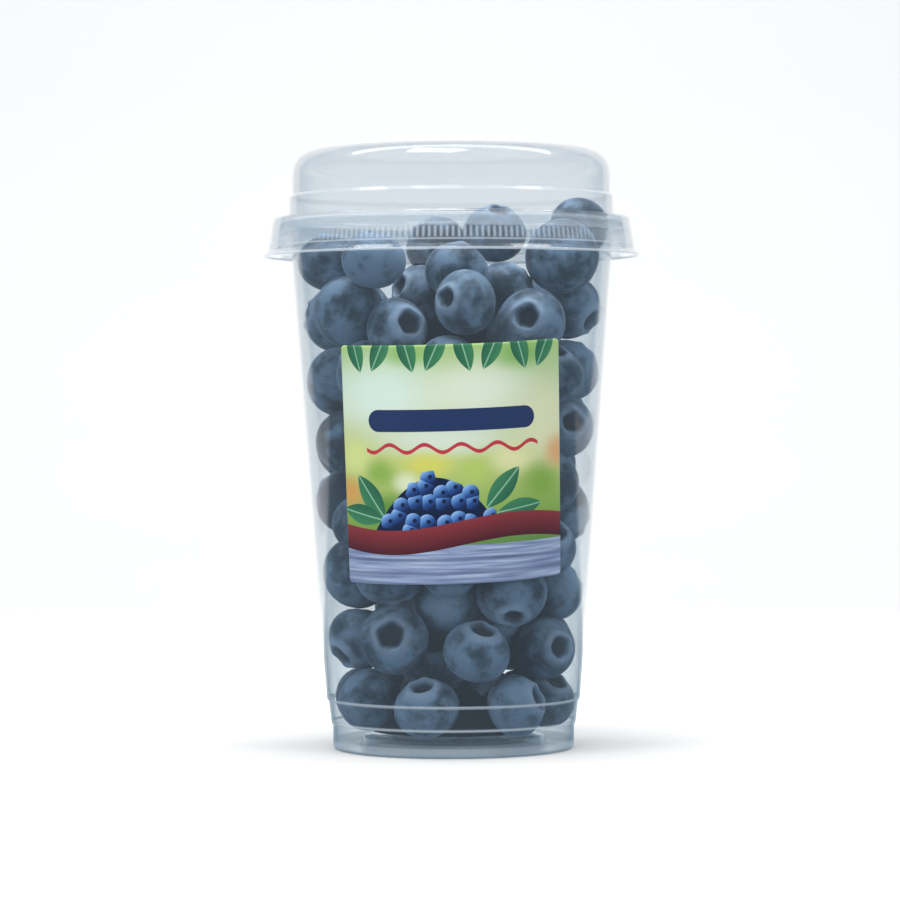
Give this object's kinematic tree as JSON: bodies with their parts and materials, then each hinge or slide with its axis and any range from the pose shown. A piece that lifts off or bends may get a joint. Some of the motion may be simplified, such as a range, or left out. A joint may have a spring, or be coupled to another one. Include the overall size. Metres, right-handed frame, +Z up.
{
  "type": "punnet of blueberries",
  "caption": "Tall round clear plastic cup with a press-on clear dome lid, filled with fresh blueberries, with a square printed label wrapped round the front.",
  "frame": {"origin": "centre of the foot ring, on the surface the cup stands on", "axes": "+Z up along the cup's axis, -Y towards the front, where the label is, +X to the right as seen from the front"},
  "size_m": [0.1084, 0.1084, 0.173],
  "materials": {
    "clear_cup": "clear gloss",
    "clear_lid": "clear gloss",
    "printed_label": "printed satin film",
    "blueberry_skin": "waxy bloom"
  },
  "bodies": {
    "root": {"cup": "clear_cup", "lid": "clear_lid", "front_label": "printed_label", "blueberries": "blueberry_skin"}
  },
  "joints": []
}
